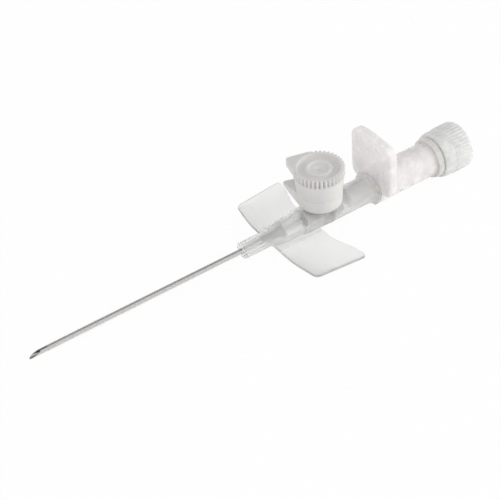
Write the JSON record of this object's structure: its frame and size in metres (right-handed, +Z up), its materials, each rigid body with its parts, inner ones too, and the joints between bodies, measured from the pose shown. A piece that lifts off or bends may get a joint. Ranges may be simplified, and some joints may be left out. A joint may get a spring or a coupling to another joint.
{
  "type": "iv cannula",
  "caption": "Winged intravenous cannula with a capped injection port, clear hub, plastic catheter over a steel needle, grip plate, flashback chamber and stopper.",
  "frame": {"origin": "middle of the hub's front face, where the catheter leaves it, on the needle's axis", "axes": "+X backwards along the needle's axis to the stopper, +Z up through the injection port, +Y to the right wing"},
  "size_m": [0.1067, 0.0308, 0.0183],
  "materials": {
    "catheter_clear": "clear smooth fluoropolymer",
    "steel": "drawn and electropolished stainless steel",
    "hub_clear": "clear moulded polypropylene",
    "silicone": "soft translucent silicone",
    "cap_white": "satin white moulded polyethylene",
    "needle_hub_clear": "clear to milky moulded polypropylene",
    "plug_frosted": "translucent moulded plastic",
    "filter_white": "sintered porous plastic",
    "stopper_frosted": "translucent milky moulded polyethylene"
  },
  "bodies": {
    "cannula": {"catheter_tube": "catheter_clear", "catheter_bush": "steel", "cannula_hub": "hub_clear", "valve_sleeve": "silicone"},
    "ring": {"cap_ring": "cap_white", "cap_strap": "cap_white"},
    "cap": {"port_cap": "cap_white"},
    "needle": {"needle_tube": "steel", "needle_hub": "needle_hub_clear", "vent_plug": "plug_frosted", "vent_filter": "filter_white"},
    "stopper": {"luer_stopper": "stopper_frosted"}
  },
  "joints": [
    {"name": "needle_pull", "type": "slide", "parent": "cannula", "child": "needle", "axis": [1, 0, 0], "range_m": [0, 0.085]},
    {"name": "ring_turn", "type": "hinge", "parent": "cannula", "child": "ring", "pos_m": [0.02, 0, 0.004], "axis": [0, 0, 1], "continuous": true},
    {"name": "cap_lift", "type": "slide", "parent": "ring", "child": "cap", "axis": [0, 0, 1], "range_m": [0, 0.0055], "deforming": ["cap_strap"]},
    {"name": "stopper_pull", "type": "slide", "parent": "needle", "child": "stopper", "axis": [1, 0, 0], "range_m": [0, 0.012]}
  ]
}
